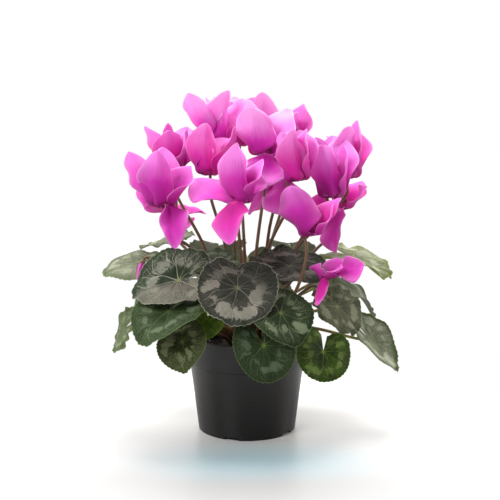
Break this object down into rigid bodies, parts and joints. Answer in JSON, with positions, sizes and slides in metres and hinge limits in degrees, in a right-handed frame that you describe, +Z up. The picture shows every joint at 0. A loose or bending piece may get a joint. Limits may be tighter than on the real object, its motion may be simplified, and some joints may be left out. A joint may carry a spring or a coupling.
{
  "type": "potted cyclamen",
  "caption": "Flowering pot plant: marbled heart-shaped leaves and nodding flowers with swept-back pink petals on long stems, rising from a tuber in a tapered round nursery pot.",
  "frame": {"origin": "centre of the pot on the surface it stands on", "axes": "+Z up along the pot's axis; the side with the most leaves and flowers shown faces -Y"},
  "size_m": [0.2908, 0.2171, 0.3268],
  "materials": {
    "leaf": "matt to satin green leaf with a silver-green pattern",
    "young_leaf": "satin bright green young leaf",
    "petal": "soft satin bright pink petal, deeper at its root",
    "flower_stem": "satin reddish brown stalk",
    "tuber": "rough corky brown skin",
    "compost": "crumbly dark compost",
    "pot_plastic": "satin black moulded plastic"
  },
  "bodies": {
    "root": {"leaf_01": "leaf", "leaf_02": "leaf", "leaf_03": "leaf", "leaf_04": "leaf", "leaf_05": "leaf", "leaf_06": "leaf", "leaf_07": "leaf", "leaf_08": "leaf", "leaf_09": "leaf", "leaf_10": "leaf", "leaf_11": "leaf", "leaf_12": "leaf", "leaf_13": "leaf", "leaf_14": "leaf", "leaf_15": "leaf", "leaf_16": "leaf", "leaf_17": "leaf", "leaf_18": "leaf", "leaf_19": "leaf", "leaf_20": "leaf", "leaf_21": "leaf", "hanging_leaves": "leaf", "young_leaves": "young_leaf", "corolla_01": "petal", "corolla_02": "petal", "corolla_03": "petal", "corolla_04": "petal", "corolla_05": "petal", "corolla_06": "petal", "corolla_07": "petal", "corolla_08": "petal", "corolla_09": "petal", "corolla_10": "petal", "corolla_11": "petal", "corolla_12": "petal", "corolla_13": "petal", "corolla_14": "petal", "corolla_15": "petal", "corolla_16": "petal", "flower_stem_01": "flower_stem", "flower_stem_02": "flower_stem", "flower_stem_03": "flower_stem", "flower_stem_04": "flower_stem", "flower_stem_05": "flower_stem", "flower_stem_06": "flower_stem", "flower_stem_07": "flower_stem", "flower_stem_08": "flower_stem", "flower_stem_09": "flower_stem", "flower_stem_10": "flower_stem", "flower_stem_11": "flower_stem", "flower_stem_12": "flower_stem", "flower_stem_13": "flower_stem", "flower_stem_14": "flower_stem", "flower_stem_15": "flower_stem", "flower_stem_16": "flower_stem", "bud": "petal", "bud_stem": "flower_stem", "tuber": "tuber", "compost": "compost", "pot": "pot_plastic"}
  },
  "joints": []
}
